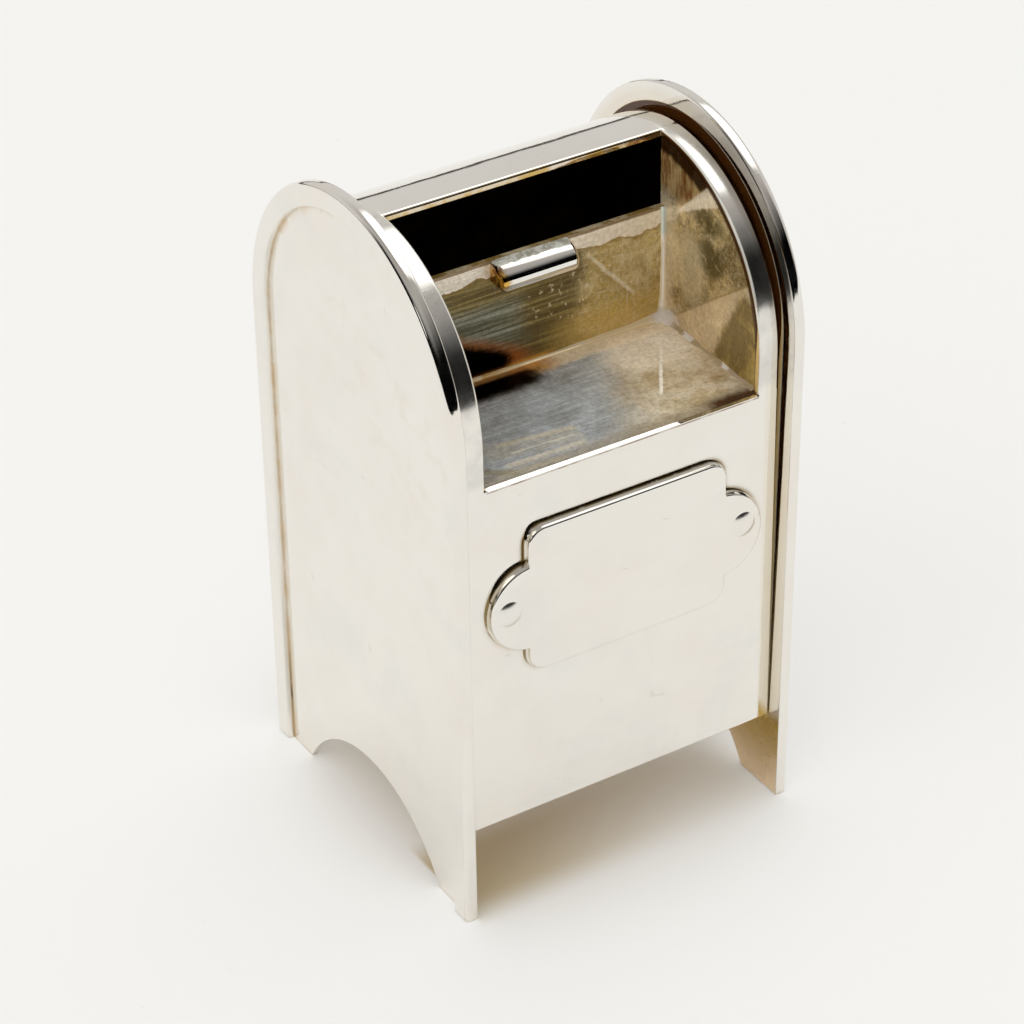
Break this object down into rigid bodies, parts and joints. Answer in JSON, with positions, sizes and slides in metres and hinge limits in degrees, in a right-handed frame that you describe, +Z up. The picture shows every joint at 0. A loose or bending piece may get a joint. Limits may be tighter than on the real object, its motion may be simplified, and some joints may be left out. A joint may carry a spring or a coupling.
{
  "type": "stamp dispenser",
  "caption": "Small polished metal stamp-roll dispenser shaped like an arch-topped letter box on feet, with an open pocket, a feed slot and a hinged side lid.",
  "frame": {"origin": "centre of the footprint, on the ground plane under the feet", "axes": "+Z up, -Y towards the front with the opening and the name plate, +X towards the hinged side lid"},
  "size_m": [0.0334, 0.0324, 0.0609],
  "materials": {
    "polished_silver": "polished silver plate with light tarnish in the corners",
    "pocket_silver": "yellow-brown tarnished silver plate, brushed",
    "inner_silver": "unpolished tarnished silver plate",
    "pin_steel": "drawn wire"
  },
  "bodies": {
    "case": {"left_side_plate": "polished_silver", "left_rim": "polished_silver", "body_wrap": "polished_silver", "bottom_plate": "inner_silver", "pocket_floor": "pocket_silver", "pocket_back": "pocket_silver", "left_cheek": "pocket_silver", "right_cheek": "pocket_silver", "pull_bar": "polished_silver", "name_plate": "polished_silver", "rivet_left": "polished_silver", "rivet_right": "polished_silver", "body_hinge_leaf": "inner_silver"},
    "lid": {"lid_plate": "polished_silver", "lid_rim": "polished_silver", "lid_flange": "inner_silver", "lid_hinge_leaf": "inner_silver", "hinge_pin": "pin_steel"}
  },
  "joints": [
    {"name": "lid_hinge", "type": "hinge", "parent": "case", "child": "lid", "pos_m": [0.0133, 0, 0.0068], "axis": [0, 1, 0], "range_deg": [-0.7, 95]}
  ]
}
